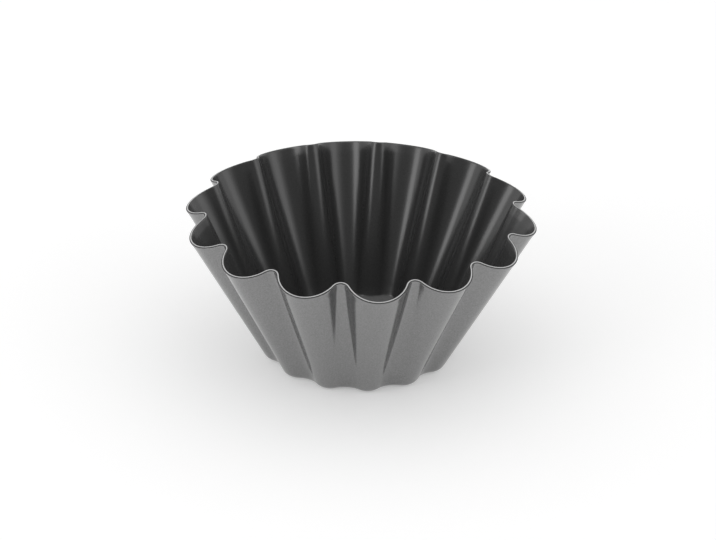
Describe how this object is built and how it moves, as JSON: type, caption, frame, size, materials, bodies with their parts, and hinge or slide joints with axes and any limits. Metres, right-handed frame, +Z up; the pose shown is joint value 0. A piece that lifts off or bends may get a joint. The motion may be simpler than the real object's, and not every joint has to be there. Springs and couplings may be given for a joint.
{
  "type": "brioche mould",
  "caption": "Fluted, flared individual brioche mould of thin pressed steel, with a flat base, a wavy cut rim, a dark non-stick coat inside and a grey coat outside.",
  "frame": {"origin": "centre of the flat base's underside, on the surface the mould stands on", "axes": "+Z up, along the mould's axis towards the open rim; +X through the middle of one flute's crest"},
  "size_m": [0.1, 0.0978, 0.0445],
  "materials": {
    "sheet_steel": "bare where the rim is cut",
    "nonstick_coat": "satin dark charcoal",
    "grey_coat": "satin metallic grey with a fine grain"
  },
  "bodies": {
    "root": {"steel_shell": "sheet_steel", "inner_nonstick_coat": "nonstick_coat", "outer_coat": "grey_coat"}
  },
  "joints": []
}
